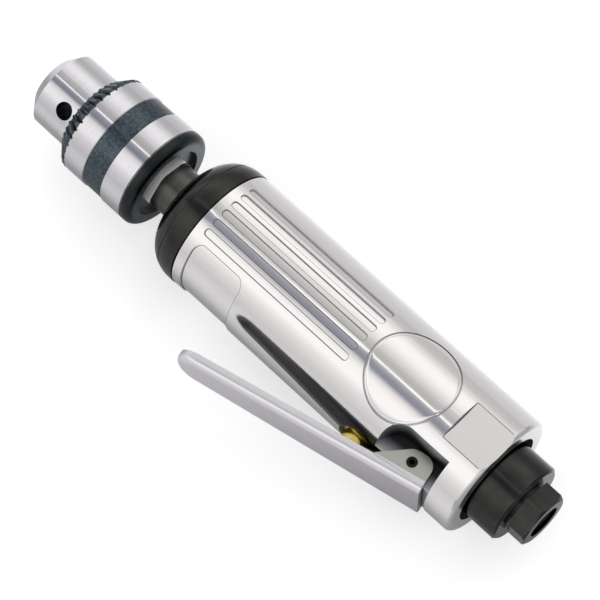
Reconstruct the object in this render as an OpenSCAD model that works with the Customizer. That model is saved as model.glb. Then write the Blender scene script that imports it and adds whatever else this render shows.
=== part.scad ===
// Straight air drill: keyed chuck, planetary gear, vane motor and lever throttle.
// Every piece is drawn about the spindle axis in turning coordinates: z is the distance behind the
// nose of the chuck, x points up through the fluted flank and y points towards the lever.
// to_frame() then lays that axis along X: the nose points to +X, the flank to +Z, the lever to +Y.

/* [Chuck] */
// Diameter of the bare nose
nose_d = 26.9; // [26:0.1:28]
// Length of the bare nose in front of the sleeve
nose_len = 17.2; // [16.5:0.1:18]
// Diameter of the flat front face
nose_face_d = 19; // [17:0.1:21]
// Length of the cone behind the front face
nose_cone_len = 3.6; // [2:0.1:5]
// Bore that takes the drill bit
bit_bore_d = 10.6; // [10.2:0.1:11]
// Round mouth of the bit bore, in front of the jaws
mouth_d = 11.1; // [11:0.05:11.2]
// Length of the mouth
mouth_len = 3.4; // [2.6:0.1:3.6]
// Depth of the bit bore
bit_bore_len = 26.5; // [25:0.1:28]
// Smallest bit that the jaws close on
bit_min_d = 1.5; // [1.2:0.1:2]
// Pilot holes for the chuck key
key_hole_d = 6; // [5:0.1:6.2]
// Depth of the key holes
key_hole_len = 6; // [4:0.1:6.4]
// Outer diameter of the sleeve
sleeve_d = 35.9; // [35.5:0.1:38]
// Length of the toothed ring on the sleeve
tooth_ring_len = 5.3; // [5:0.1:6]
// Length of the cone that carries the teeth
tooth_cone_len = 4; // [3:0.1:5]
// Number of key teeth
key_teeth = 36; // [30:1:40]
// Depth of a key tooth
tooth_depth = 1.3; // [0.8:0.1:1.6]
// Length of the front bright band
front_band_len = 8; // [7:0.1:10]
// Length of the dark band between the bright ones
dark_band_len = 8.4; // [6:0.1:9]
// Depth of the dark band below the bright ones
dark_band_depth = 0.3; // [0.2:0.05:0.4]
// Length of the rear bright band
rear_band_len = 8.3; // [8:0.1:10]
// Length of the rounded rear flange of the chuck body
flange_len = 3.6; // [3:0.1:5]
// Rounding of the flange
flange_round = 2.6; // [2:0.1:2.9]
// Diameter of the dished rear face
dish_d = 25.6; // [25:0.1:27]
// Depth of the dish
dish_depth = 1.8; // [1.4:0.1:1.9]
// Diameter of the jaws
jaw_d = 6.4; // [6:0.1:6.6]
// Lean of the jaws against the axis, in degrees
jaw_tilt = 14; // [13.5:0.1:14.5]
// Distance of a jaw's axis from the chuck's axis at the nose
jaw_entry = 1; // [0.8:0.1:1.2]
// Length of the split nut that drives the jaws
chuck_nut_len = 5.5; // [5:0.1:6]

/* [Spindle and gear] */
// Spindle neck, as a share of the barrel's diameter
neck_share = 0.3954; // [0.38:0.001:0.41]
// Neck that shows between chuck and clamp nut
neck_len = 7.9; // [7:0.1:9]
// Width across the spanner hexagon's flats, as a share of the neck
spanner_share = 1.012; // [1:0.001:1.05]
// Length of the spanner hexagon
spanner_len = 3; // [2.5:0.1:3.5]
// Diameter of the thread that carries the chuck
chuck_thread_d = 9.5; // [9:0.1:10]
// Gear module, as a share of the barrel's diameter
gear_module_share = 0.01512; // [0.0145:0.0001:0.0155]
// Teeth of the sun pinion
sun_teeth = 12; // [12:1:12]
// Teeth of a planet gear
planet_teeth = 18; // [18:1:18]
// Face width of the planet gears
planet_w = 9; // [7:0.1:11]
// Diameter of the planet pins
planet_pin_d = 4; // [3.5:0.1:4.5]
// Thickness of the carrier's front disc
carrier_front_t = 4.4; // [4:0.1:6]
// Thickness of the carrier's rear disc
carrier_rear_t = 3.9; // [3:0.1:5]
// Front bearing's outer diameter, as a share of the barrel's
front_bearing_share = 0.814; // [0.8:0.001:0.82]
// Front bearing: width
front_bearing_w = 10; // [9:0.1:11]
// Ball diameter of the bearings, as a share of the gap between neck and seat
ball_share = 0.525; // [0.5:0.005:0.55]

/* [Clamp nut] */
// Step by which the nut stands proud of the barrel
nut_proud = 0.2; // [0.1:0.05:0.6]
// Straight rim behind the dome
nut_rim_len = 2; // [1.6:0.1:3]
// Radius of the dome, as a share of the ring between neck and rim
dome_share = 0.91; // [0.85:0.01:0.95]
// Line around the dome, from the barrel
nut_line_from_rim = 6.3; // [5:0.1:8]
// Wall of nut in front of the bearing
nut_lip_len = 4.8; // [4.7:0.1:5.2]
// Length of the thread that enters the housing
nut_thread_len = 5.9; // [5:0.1:8]

/* [Housing] */
// Diameter of the barrel
barrel_d = 43; // [42.6:0.1:45]
// Length of the barrel
barrel_len = 118.3; // [117:0.1:130]
// Wall of the barrel around the motor
barrel_wall = 2.25; // [2:0.05:2.5]
// Bright chamfer at the front rim
front_chamfer = 0.6; // [0.3:0.1:1]
// Rounding of the rear edge
rear_round = 1.8; // [1:0.1:2.5]
// Number of flutes on each flank
flute_count = 6; // [4:1:7]
// Angle between flutes, in degrees
flute_pitch = 10.9; // [10:0.1:12]
// Width of a flute
flute_w = 2.5; // [2:0.1:3]
// Depth of a flute
flute_depth = 0.45; // [0.3:0.05:0.6]
// Length of the flutes
flute_len = 60.4; // [50:0.1:62]
// Distance of the flutes behind the front rim
flute_start = 3.9; // [3:0.1:5]
// Diameter of the round badge field
badge_d = 29.4; // [26:0.1:30]
// Distance of the badge field's centre ahead of the rear rim
badge_from_rear = 35.8; // [35:0.1:37]
// Width of the line around the badge field
badge_line_w = 0.6; // [0.4:0.1:1]
// Depth of the line around the badge field
badge_line_depth = 0.3; // [0.2:0.05:0.5]
// Depth of the rear spanner flats
flat_depth = 1.4; // [0.8:0.1:1.8]
// Length of the rear spanner flats
flats_len = 16.3; // [12:0.1:18]
// Length of the shallow recess under the front end
recess_len = 20.2; // [15:0.1:24]
// Width of the recess
recess_w = 34.8; // [28:0.1:36]
// Depth of the recess
recess_depth = 0.6; // [0.3:0.05:0.7]
// Corner radius of the recess
recess_round = 3; // [2:0.1:6]
// Distance of the recess behind the front rim
recess_start = 4.1; // [3:0.1:5]

/* [Throttle] */
// Distance of the lever's pivot ahead of the rear rim
pivot_from_rear = 19.6; // [19:0.1:20]
// Depth of the pivot below the barrel's surface
pivot_depth = 4.7; // [4.6:0.05:4.8]
// Diameter of the roll pin
lever_pin_d = 3.5; // [3:0.1:3.6]
// Hole in the roll pin
lever_pin_hole_d = 1.8; // [1.2:0.1:2]
// Length of the lever from pivot to tip
lever_len = 80.2; // [74:0.1:82]
// Length of the lever behind the pivot
lever_tail = 6.6; // [6:0.1:7]
// Width of the lever at the ears
lever_w = 20; // [19.5:0.1:21]
// Width of the lever at the tip
lever_tip_w = 14.4; // [13:0.1:16]
// Sheet thickness of the lever
lever_t = 1.9; // [1.6:0.1:2]
// Height of the lever's outer face over the pivot
lever_h = 7; // [6.9:0.1:7.4]
// Depth of the turned edge inside the lever
lever_edge = 1.8; // [1.4:0.1:1.9]
// Bend radius of the turned edge
lever_bend = 2.3; // [1.5:0.1:2.6]
// Rise of the released lever, in degrees
lever_rise = 12.7; // [12:0.1:13]
// Radius of the ears round the pin
ear_r = 4.2; // [3.8:0.1:4.4]
// Length of the ears ahead of the pivot
ear_len = 11; // [9:0.1:11.4]
// Distance of the throttle valve ahead of the pivot
valve_ahead = 19.3; // [19:0.1:20]
// Diameter of the brass stem
stem_d = 9; // [8.4:0.1:9.4]
// Height of the stem's dome
stem_dome = 1.2; // [1:0.1:1.6]
// Travel of the stem
stem_travel = 3.5; // [3.3:0.05:3.6]

/* [Motor] */
// Length of the cylinder liner
liner_len = 28; // [26:0.1:29]
// Bore of the cylinder liner, as a share of the barrel's diameter
liner_bore_share = 0.698; // [0.68:0.001:0.71]
// Offset of the liner's bore from the rotor
liner_offset = 1.6; // [1.4:0.1:1.8]
// Number of rotor blades
blade_count = 5; // [4:1:6]
// Thickness of a blade
blade_t = 1.7; // [1.4:0.1:2]
// Bore of the rotor bearings, as a share of their outer diameter
rotor_bore_share = 0.4546; // [0.44:0.001:0.47]
// Rotor bearings: outer diameter
rotor_bearing_d = 22; // [21.6:0.1:22.4]
// Rotor bearings: width
rotor_bearing_w = 6; // [5.6:0.1:6.4]

/* [Air inlet] */
// Diameter of the rear collar
collar_d = 27.9; // [27:0.1:29]
// Length of the collar behind the barrel
collar_len = 11.8; // [10:0.1:14]
// Width across the flats of the inlet hexagon
hex_w = 17.5; // [17:0.1:19]
// Length of the hexagon
hex_len = 6.8; // [6:0.1:9]
// Bore of the inlet thread
inlet_bore_d = 11.5; // [11:0.1:12]
// Depth of the inlet thread
inlet_bore_len = 14; // [12:0.1:15]

/* [Hidden] */
$fn = 64;

// Clearances and the overrun of every cut
run_gap = 0.05;
seat_gap = 0.02;
cage_gap = 0.12;
face_gap = 0.2;
free_gap = 0.3;
cut = 1;

// Chuck: stations along the axis
nose_r = nose_d / 2;
bit_bore_r = bit_bore_d / 2;
sleeve_r = sleeve_d / 2;
sleeve_front = nose_len;
teeth_end = sleeve_front + tooth_ring_len;
dark_from = teeth_end + front_band_len;
dark_to = dark_from + dark_band_len;
sleeve_end = dark_to + rear_band_len;
flange_from = sleeve_end + free_gap;
flange_to = flange_from + flange_len;
dish_at = flange_to - dish_depth;
spanner_from = dish_at + seat_gap;
spanner_to = spanner_from + spanner_len;
tooth_rise_share = 0.45;
tooth_inner_r = nose_r + tooth_rise_share * tooth_depth;
tooth_slope = atan2(tooth_cone_len, sleeve_r - tooth_inner_r);
tooth_slant = norm([tooth_cone_len, sleeve_r - tooth_inner_r]);
tooth_gap_share = 0.62;
tooth_gap_w = tooth_gap_share * PI * sleeve_d / key_teeth;
tooth_floor_share = 0.3;
key_hole_share = 0.79;
key_hole_at = key_hole_share * nose_len;
key_hole_turn = 40;

// Chuck: jaws, their nut and the retaining screw
jaw_count = 3;
jaw_step = 360 / jaw_count;
jaw_turn = key_hole_turn + jaw_step / 2;
jaw_r = jaw_d / 2;
jaw_reach = jaw_r / cos(jaw_tilt);
jaw_land = 0.8;
jaw_bevel = 60;
jaw_closed_tip = 0.5;
jaw_tail_grip = 1;
grip_open_r = bit_bore_r + run_gap;
grip_closed_r = bit_min_d / 2;
jaw_axial = (grip_open_r - grip_closed_r) / tan(jaw_tilt);
jaw_tip = jaw_closed_tip + jaw_axial;
chuck_nut_from = teeth_end;
chuck_nut_to = chuck_nut_from + chuck_nut_len;
jaw_tail = chuck_nut_to + jaw_tail_grip + jaw_axial;
function jaw_axis_r(d) = jaw_entry + d * tan(jaw_tilt);
sleeve_bore_r = jaw_axis_r(jaw_tail) + jaw_reach + free_gap;
nut_cone_front_r = jaw_axis_r(chuck_nut_from) + jaw_reach + free_gap;
nut_cone_rear_r = jaw_axis_r(chuck_nut_to) + jaw_reach + free_gap;
waist_r = nut_cone_front_r - free_gap;
body_rear_share = 0.94;
body_rear_r = body_rear_share * nose_r;
screw_head_share = 0.78;
screw_head_r = screw_head_share * bit_bore_r;
screw_head_len = 4;
screw_socket_share = 0.55;
screw_r = 2.5;
screw_thread_len = 15;
web_t = 4;
head_from = bit_bore_len + seat_gap;
head_to = head_from + screw_head_len;
socket_from = head_to + web_t;
spindle_front = socket_from + face_gap;
chuck_thread_r = chuck_thread_d / 2;

// Spindle, clamp nut and front bearing
barrel_r = barrel_d / 2;
neck_d = neck_share * barrel_d;
neck_r = neck_d / 2;
spanner_w = spanner_share * neck_d;
spanner_corner_r = spanner_w / 2 / cos(30);
spanner_face_r = (spanner_corner_r + spanner_w / 2) / 2;
spanner_turn = 17.5;
spanner_chamfer = 0.6;
nut_r = barrel_r + nut_proud;
flute_turn = -1.6;
flute_end_share = 0.45;
barrel_bore_r = barrel_r - barrel_wall;
stack_r = barrel_bore_r - run_gap;
nut_dome_r = dome_share * (nut_r - neck_r);
nut_len = nut_dome_r + nut_rim_len;
nut_front = spanner_to + neck_len;
nut_to = nut_front + nut_len;
barrel_front = nut_to;
barrel_rear = barrel_front + barrel_len;
dome_at = nut_to - nut_rim_len;
nut_line_at = nut_to - nut_line_from_rim;
nut_line_rise = sqrt(pow(nut_dome_r, 2) - pow(dome_at - nut_line_at, 2));
nut_line_r = nut_r - nut_dome_r + nut_line_rise;
nut_line_depth = 0.35;
nut_bore_r = neck_r + free_gap;
seal_wall = 2.5;
seal_r = neck_r + seal_wall;
seal_set = 0.8;
seal_from = nut_front + seal_set;
seal_len = 2.6;
seal_back = 1.2;
front_bearing_from = nut_front + nut_lip_len;
front_bearing_to = front_bearing_from + front_bearing_w;
front_bearing_r = front_bearing_share * barrel_r;
bearing_lip = 2;
front_bearing_lip_r = front_bearing_r - bearing_lip;
shoulder_h = 1.9;
shoulder_r = neck_r + shoulder_h;
shoulder_len = 1.5;
nut_thread_to = nut_to + nut_thread_len;

// Planetary gear
pressure = 25;
gear_module = gear_module_share * barrel_d;
addendum_share = 0.9;
dedendum_share = 1.15;
tooth_play = 0.1;
flank_steps = 3;
planet_count = 3;
ring_teeth = sun_teeth + 2 * planet_teeth;
sun_pitch_r = gear_module * sun_teeth / 2;
planet_pitch_r = gear_module * planet_teeth / 2;
ring_pitch_r = gear_module * ring_teeth / 2;
carrier_arm = sun_pitch_r + planet_pitch_r;
addendum = addendum_share * gear_module;
dedendum = dedendum_share * gear_module;
ring_tip_r = ring_pitch_r - addendum;
sun_tip_r = sun_pitch_r + addendum;
sun_root_r = sun_pitch_r - dedendum;
planet_tip_r = planet_pitch_r + addendum;
carrier_room = 0.85;
carrier_r = ring_tip_r - carrier_room;
carrier_from = front_bearing_to + shoulder_len;
planet_from = carrier_from + carrier_front_t + free_gap;
planet_to = planet_from + planet_w;
carrier_rear_from = planet_to + free_gap;
carrier_to = carrier_rear_from + carrier_rear_t;
pillar_r = 2.6;
pillar_edge = 0.4;
pillar_arm = carrier_r - pillar_r - pillar_edge;
planet_pin_r = planet_pin_d / 2;
pin_from = carrier_from + carrier_front_t / 4;
hub_bore_r = sun_tip_r + free_gap;
hub_wall = 3.1;
carrier_hub_r = hub_bore_r + hub_wall;
ring_from = nut_thread_to + face_gap;
ring_to = carrier_to + face_gap;
gear_plate_from = ring_to + seat_gap;
gear_plate_t = 6;
gear_plate_to = gear_plate_from + gear_plate_t;
bush_wall = 2.4;
bush_r = carrier_hub_r + bush_wall;
carrier_hub_to = gear_plate_to - face_gap;

// Motor
plate_wall = 2.4;
front_plate_from = gear_plate_to + face_gap;
front_plate_to = front_plate_from + rotor_bearing_w + face_gap + plate_wall;
liner_from = front_plate_to + seat_gap;
liner_to = liner_from + liner_len;
rear_plate_from = liner_to + seat_gap;
rear_bearing_from = rear_plate_from + plate_wall;
rear_plate_to = rear_bearing_from + rotor_bearing_w;
barrel_bore_to = rear_plate_to + face_gap;
liner_bore = liner_bore_share * barrel_d;
rotor_r = liner_bore / 2 - liner_offset - run_gap * 2;
rotor_from = liner_from + face_gap;
rotor_to = liner_to - face_gap;
bearing_r = rotor_bearing_d / 2;
shaft_r = rotor_bore_share * bearing_r;
sun_shaft_r = sun_tip_r - run_gap;
sun_from = planet_from + face_gap;
sun_to = planet_to + free_gap;
slot_w = blade_t + 2 * run_gap;
slot_floor_wall = 0.9;
slot_floor_r = shaft_r + slot_floor_wall;
plate_hole_r = shaft_r + free_gap;
dowel_r = 1.2;
dowel_set = 1.9;
dowel_at_r = barrel_bore_r - dowel_set;
port_r = 1.8;
port_count = 4;
feed_r = 2;
feed_at_r = liner_bore / 2 - feed_r / 2;

// Throttle: places on the barrel
pivot_at = barrel_rear - pivot_from_rear;
pivot_y = barrel_r - pivot_depth;
valve_at = pivot_at - valve_ahead;
lever_pin_r = lever_pin_d / 2;
lever_in = lever_h - lever_t;
lever_low = lever_in - lever_edge;
ear_in = lever_w / 2 - lever_t;
tongue_w = 2 * (ear_in - free_gap);
tongue_wall = 1.25;
tongue_top = pivot_y + lever_pin_r + tongue_wall;
pocket_front = 12.3;
pocket_rear = 9.8;
pocket_round = 7;
pocket_room = 0.6;
ear_back = lever_tail - ear_r;
pocket_top = pivot_y - ear_r - ear_back * sin(lever_rise) - pocket_room;
sheet_slice = 0.2;
stem_r = stem_d / 2;
stem_room = 0.54;
stem_top = pivot_y + lever_in / cos(lever_rise) + valve_ahead * tan(lever_rise) - stem_room;
stem_sphere_r = (stem_r * stem_r + stem_dome * stem_dome) / (2 * stem_dome);
bushing_wall = 2.05;
valve_bore_r = stem_r + bushing_wall;
bushing_top = sqrt(barrel_r * barrel_r - valve_bore_r * valve_bore_r) - free_gap;
bushing_len = 14;
bushing_low = bushing_top - bushing_len;
seat_t = 3;
seat_top = bushing_low - face_gap;
seat_low = seat_top - seat_t;
seat_hole_r = 3.1;
stem_pin_r = 1.6;
stem_shoulder = seat_top + stem_travel + face_gap;
poppet_r = 4.4;
poppet_len = 3.8;
poppet_top = seat_low - face_gap;
poppet_low = poppet_top - poppet_len;
spring_len = 11.4;
spring_r = 3.3;
spring_wire_r = 0.45;
spring_turns = 6;
spring_steps = 12;
spring_sides = 6;
valve_bore_low = poppet_low - spring_len - face_gap;
seal_wire_r = 0.5;
seal_at = bushing_top - bushing_len / 4;

// Air inlet and exhaust
collar_r = collar_d / 2;
exhaust_len = 6;
exhaust_share = 0.29;
exhaust_w = exhaust_share * (barrel_r - collar_r);
exhaust_r = collar_r + exhaust_w;
collar_from = barrel_rear - exhaust_len;
collar_to = barrel_rear + collar_len;
collar_edge = 0.9;
spigot_r = 11;
spigot_len = 8.4;
spigot_from = collar_from - spigot_len;
passage_r = 5;
inlet_thread_r = 8.5;
inlet_thread_len = 11;
hex_gap = 0.8;
hex_neck_r = 7.9;
hex_from = collar_to + hex_gap;
hex_to = hex_from + hex_len;
hex_turn = 8;
hex_chamfer = 1;
hex_chamfer_share = 1.7;
inlet_bore_r = inlet_bore_d / 2;
screen_step = 0.7;
screen_r = inlet_bore_r - screen_step;
screen_t = 0.7;
screen_hole_r = 0.55;
screen_rings = 2;
screen_pitch = 1.9;
inlet_from = collar_to - inlet_thread_len;
screen_from = hex_to - inlet_bore_len - screen_t;
exhaust_port_r = exhaust_w;
exhaust_port_turn = 24;
exhaust_port_arm = (collar_r + exhaust_r) / 2;
muffler_len = 3.8;

// Shared forms
module to_frame() { rotate([0, -90, 0]) children(); }

// Plain round bar between two stations
module rod(r, from, to) { translate([0, 0, from]) cylinder(r = r, h = to - from); }

// Ring between two stations, bored right through
module ring(r_out, r_in, from, to) {
    difference() {
        rod(r_out, from, to);
        rod(r_in, from - cut, to + cut);
    }
}

// Round bar across the axis, along y, at a station
module cross_rod(r, at, low, high) {
    translate([0, low, at]) rotate([-90, 0, 0]) cylinder(r = r, h = high - low);
}

// Torus about the axis
module hoop(r, wire_r, at) { translate([0, 0, at]) rotate_extrude() translate([r, 0]) circle(r = wire_r); }

// Copies that turn about the axis
module around(count, first = 0) {
    for (i = [0 : count - 1])
        rotate([0, 0, first + i * 360 / count]) children();
}

// Involute gear outline: tooth thickness is less than half a pitch by the play
function involute(a) = tan(a) * 180 / PI - a;
function flank(z, pitch_r, play, r) =
    90 / z - play / pitch_r * 90 / PI + involute(pressure)
    - involute(acos(min(1, pitch_r * cos(pressure) / r)));
function polar(r, a) = [r * cos(a), r * sin(a)];
function flank_r(low, high, k) = low + (high - low) * k / flank_steps;
function gear_points(z, pitch_r, low, high, play, turn) = [
    for (i = [0 : z - 1])
        for (side = [-1, 1])
            for (k = side < 0 ? [0 : flank_steps] : [flank_steps : -1 : 0])
                let (r = flank_r(low, high, k), a = turn + i * 360 / z)
                    polar(r, a + side * flank(z, pitch_r, play, r))
];

// Bearing pieces, shared by the three ball bearings
race_share = 0.62;
cage_share = 0.2;
cage_w_share = 1.3;
module bearing_outer(r_out, pitch_r, ball_r, from, to) {
    color("lightsteelblue") difference() {
        ring(r_out - seat_gap, pitch_r + race_share * ball_r, from, to);
        hoop(pitch_r, ball_r + run_gap, (from + to) / 2);
    }
}
module bearing_inner(r_in, pitch_r, ball_r, from, to) {
    color("lightsteelblue") difference() {
        ring(pitch_r - race_share * ball_r, r_in + seat_gap, from, to);
        hoop(pitch_r, ball_r + run_gap, (from + to) / 2);
    }
}
module bearing_balls(pitch_r, ball_r, count, from, to) {
    at = (from + to) / 2;
    half_w = cage_w_share * ball_r;
    color("goldenrod") difference() {
        ring(pitch_r + cage_share * ball_r, pitch_r - cage_share * ball_r, at - half_w, at + half_w);
        around(count) translate([0, 0, at]) rotate([0, 90, 0])
            cylinder(r = ball_r + cage_gap, h = 2 * pitch_r);
    }
    color("silver") around(count) translate([pitch_r, 0, at]) sphere(r = ball_r);
}
front_ball_r = ball_share * (front_bearing_r - neck_r) / 2;
front_pitch_r = (neck_r + front_bearing_r) / 2;
front_ball_count = 8;
rotor_ball_r = ball_share * (bearing_r - shaft_r) / 2;
rotor_pitch_r = (shaft_r + bearing_r) / 2;
rotor_ball_count = 8;
rotor_front_from = front_plate_from + face_gap;
rotor_front_to = rotor_front_from + rotor_bearing_w;

// Chuck body: nose, groove for the split nut, rear flange and hub, with bores for bit, jaws and key
module jaw_line(k) {
    rotate([0, 0, jaw_turn + k * jaw_step]) translate([jaw_entry, 0, 0])
        rotate([0, jaw_tilt, 0]) children();
}

module chuck_body() {
    color("gray") to_frame() difference() {
        union() {
            cylinder(r1 = nose_face_d / 2, r2 = nose_r, h = nose_cone_len);
            rod(nose_r, nose_cone_len, chuck_nut_from - face_gap);
            rod(waist_r, nose_cone_len, flange_to);
            rod(body_rear_r, chuck_nut_to + face_gap, flange_to);
            rotate_extrude() flange_profile();
        }
        rod(mouth_d / 2, -cut, mouth_len);
        rod(bit_bore_r, -cut, bit_bore_len);
        rod(screw_head_r + free_gap, 0, head_to);
        rod(screw_r + run_gap, 0, flange_to);
        rod(chuck_thread_r + seat_gap, socket_from, flange_to + cut);
        rod(dish_d / 2, dish_at, flange_to + cut);
        for (k = [0 : jaw_count - 1])
            jaw_line(k) rod(jaw_r + run_gap, jaw_r, (jaw_tail + free_gap) / cos(jaw_tilt));
        around(jaw_count, key_hole_turn)
            translate([nose_r - key_hole_len, 0, key_hole_at])
                rotate([0, 90, 0]) cylinder(d = key_hole_d, h = key_hole_len + cut);
    }
}
module flange_profile() {
    translate([0, flange_from]) square([sleeve_r, flange_len - flange_round]);
    translate([0, flange_from]) square([sleeve_r - flange_round, flange_len]);
    intersection() {
        translate([sleeve_r - flange_round, flange_to - flange_round]) circle(r = flange_round);
        translate([0, flange_from]) square([sleeve_r, flange_len]);
    }
}

// Chuck sleeve: toothed cone in front, bright bands with a dark band between them
module chuck_sleeve() {
    color("silver") to_frame() difference() {
        rotate_extrude() polygon([
            [nose_r + run_gap, sleeve_front], [tooth_inner_r, sleeve_front],
            [sleeve_r, sleeve_front + tooth_cone_len], [sleeve_r, dark_from],
            [sleeve_r - dark_band_depth, dark_from], [sleeve_r - dark_band_depth, dark_to],
            [sleeve_r, dark_to], [sleeve_r, sleeve_end], [sleeve_bore_r, sleeve_end],
            [sleeve_bore_r, chuck_nut_from], [nose_r + run_gap, chuck_nut_from]]);
        around(key_teeth) tooth_cut();
    }
}
module tooth_cut() {
    floor_w = tooth_floor_share * tooth_gap_w;
    translate([tooth_inner_r, 0, sleeve_front]) rotate([0, -tooth_slope, 0]) rotate([90, 0, 90])
        translate([0, 0, -tooth_slant]) linear_extrude(3 * tooth_slant) polygon([
            [-tooth_gap_w / 2, 0], [-tooth_gap_w / 2, -tooth_depth], [tooth_gap_w / 2, -tooth_depth],
            [tooth_gap_w / 2, 0], [floor_w / 2, tooth_depth], [-floor_w / 2, tooth_depth]]);
}

// Split nut pressed into the sleeve, with a conical bore over the jaws
module chuck_nut() {
    color("dimgray") to_frame() rotate_extrude() polygon([
        [nut_cone_front_r, chuck_nut_from], [sleeve_bore_r - seat_gap, chuck_nut_from],
        [sleeve_bore_r - seat_gap, chuck_nut_to], [nut_cone_rear_r, chuck_nut_to]]);
}

// Jaw: slanting round bar, cut to a blunt wedge that meets the bit
module jaw(k) {
    reach = 2 * sleeve_r;
    color("darkgray") to_frame() intersection() {
        jaw_line(k) rod(jaw_r, 0, 2 * jaw_tail);
        rotate([0, 0, jaw_turn + k * jaw_step]) translate([0, 0, jaw_tip])
            linear_extrude(jaw_tail - jaw_tip) polygon([
                [grip_open_r, -jaw_land / 2], [grip_open_r + reach, -jaw_land / 2 - reach * tan(jaw_bevel)],
                [grip_open_r + reach, jaw_land / 2 + reach * tan(jaw_bevel)], [grip_open_r, jaw_land / 2]]);
    }
}
module jaw_1() { jaw(0); }
module jaw_2() { jaw(1); }
module jaw_3() { jaw(2); }

// Screw that locks the chuck to the spindle, with a hexagon socket
module chuck_screw() {
    socket_r = screw_socket_share * screw_head_r;
    color("black") to_frame() difference() {
        union() {
            rod(screw_head_r, head_from, head_to);
            rod(screw_r - run_gap, head_to - cut, head_to + screw_thread_len);
        }
        translate([0, 0, head_from - cut]) cylinder(r = socket_r, h = screw_head_len / 2 + cut, $fn = 6);
    }
}

// Spindle: chuck thread, neck with flats and the planet carrier behind the bearing
module spindle() {
    color("dimgray") to_frame() difference() {
        union() {
            rod(chuck_thread_r, spindle_front, spanner_from + cut);
            spanner();
            rod(neck_r, spanner_to - cut, carrier_from);
            rod(shoulder_r, front_bearing_to, carrier_from + cut);
            rod(carrier_r, carrier_from, carrier_from + carrier_front_t);
            around(planet_count, 180 / planet_count)
                translate([pillar_arm, 0, 0]) rod(pillar_r, carrier_from, carrier_to);
            rod(carrier_r, carrier_rear_from, carrier_to);
            rod(carrier_hub_r, carrier_to - cut, carrier_hub_to);
        }
        rod(screw_r, spindle_front - cut, head_to + screw_thread_len + face_gap);
        rod(hub_bore_r, carrier_from + carrier_front_t, carrier_hub_to + cut);
        around(planet_count) translate([carrier_arm, 0, 0])
            rod(planet_pin_r + seat_gap, pin_from, carrier_to + cut);
    }
}
module planet_pins() {
    color("silver") to_frame() around(planet_count)
        translate([carrier_arm, 0, 0]) rod(planet_pin_r, pin_from, carrier_to);
}
module planet_gear(k) {
    color("gray") to_frame() rotate([0, 0, k * 360 / planet_count]) translate([carrier_arm, 0, planet_from])
        difference() {
            linear_extrude(planet_w) polygon(gear_points(planet_teeth, planet_pitch_r,
                planet_pitch_r - dedendum, planet_tip_r, tooth_play, 180 / planet_teeth));
            rod(planet_pin_r + run_gap, -cut, planet_w + cut);
        }
}
module planet_gear_1() { planet_gear(0); }
module planet_gear_2() { planet_gear(1); }
module planet_gear_3() { planet_gear(2); }
module ring_gear() {
    color("slategray") to_frame() difference() {
        rod(stack_r, ring_from, ring_to);
        translate([0, 0, ring_from - cut]) linear_extrude(ring_to - ring_from + 2 * cut)
            polygon(gear_points(ring_teeth, ring_pitch_r, ring_tip_r, ring_pitch_r + dedendum,
                -tooth_play, 180 / ring_teeth));
    }
}

// Clamp nut: domed ring that holds seal and bearing and screws into the barrel
module clamp_nut() {
    color([0.16, 0.17, 0.16]) to_frame() difference() {
        union() {
            rotate_extrude() intersection() {
                translate([nut_r - nut_dome_r, dome_at]) circle(r = nut_dome_r, $fn = 96);
                translate([0, nut_front]) square([nut_r, nut_len]);
            }
            rod(nut_r - nut_dome_r, nut_front, dome_at);
            rod(nut_r, dome_at, nut_to);
            rod(stack_r, dome_at, nut_thread_to);
        }
        rod(nut_bore_r, nut_front - cut, nut_to);
        rod(seal_r + seat_gap, seal_from, seal_from + seal_len + seat_gap);
        rod(front_bearing_lip_r, seal_from + seal_len + seal_back, nut_to);
        hoop(nut_line_r, nut_line_depth, nut_line_at);
        rod(front_bearing_r, front_bearing_from, nut_thread_to + cut);
    }
}
// Hexagon for the spanner, chamfered towards the neck
module spanner() {
    shoulder = spanner_to - spanner_chamfer;
    intersection() {
        translate([0, 0, spanner_from]) rotate([0, 0, spanner_turn])
            cylinder(r = spanner_corner_r, h = spanner_len, $fn = 6);
        union() {
            rod(spanner_corner_r + cut, spanner_from, shoulder);
            translate([0, 0, shoulder])
                cylinder(r1 = spanner_corner_r, r2 = spanner_face_r, h = spanner_chamfer);
        }
    }
}

module spindle_seal() {
    color("black") to_frame() ring(seal_r, neck_r + run_gap, seal_from, seal_from + seal_len);
}
module front_bearing_outer() {
    to_frame() bearing_outer(front_bearing_r, front_pitch_r, front_ball_r,
        front_bearing_from, front_bearing_to);
}
module front_bearing_inner() {
    to_frame() bearing_inner(neck_r, front_pitch_r, front_ball_r, front_bearing_from, front_bearing_to);
}
module front_bearing_balls() {
    to_frame() bearing_balls(front_pitch_r, front_ball_r, front_ball_count,
        front_bearing_from, front_bearing_to);
}

// Plates behind the gear and in front of the motor
module gear_plate() { color("slategray") to_frame() ring(stack_r, bush_r, gear_plate_from, gear_plate_to); }
module carrier_bush() {
    color("peru") to_frame()
        ring(bush_r - seat_gap, carrier_hub_r + run_gap, carrier_to + face_gap, gear_plate_to);
}
module dowel_hole() {
    translate([0, dowel_at_r, 0]) rod(dowel_r + seat_gap, front_plate_from, rear_plate_to + cut);
}
module front_end_plate() {
    color("slategray") to_frame() difference() {
        rod(stack_r, front_plate_from, front_plate_to);
        rod(plate_hole_r, front_plate_from - cut, front_plate_to + cut);
        rod(bearing_r, front_plate_from - cut, front_plate_to - plate_wall);
        dowel_hole();
    }
}
module rotor_front_outer() {
    to_frame() bearing_outer(bearing_r, rotor_pitch_r, rotor_ball_r, rotor_front_from, rotor_front_to);
}
module rotor_front_inner() {
    to_frame() bearing_inner(shaft_r, rotor_pitch_r, rotor_ball_r, rotor_front_from, rotor_front_to);
}
module rotor_front_balls() {
    to_frame() bearing_balls(rotor_pitch_r, rotor_ball_r, rotor_ball_count,
        rotor_front_from, rotor_front_to);
}

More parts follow.
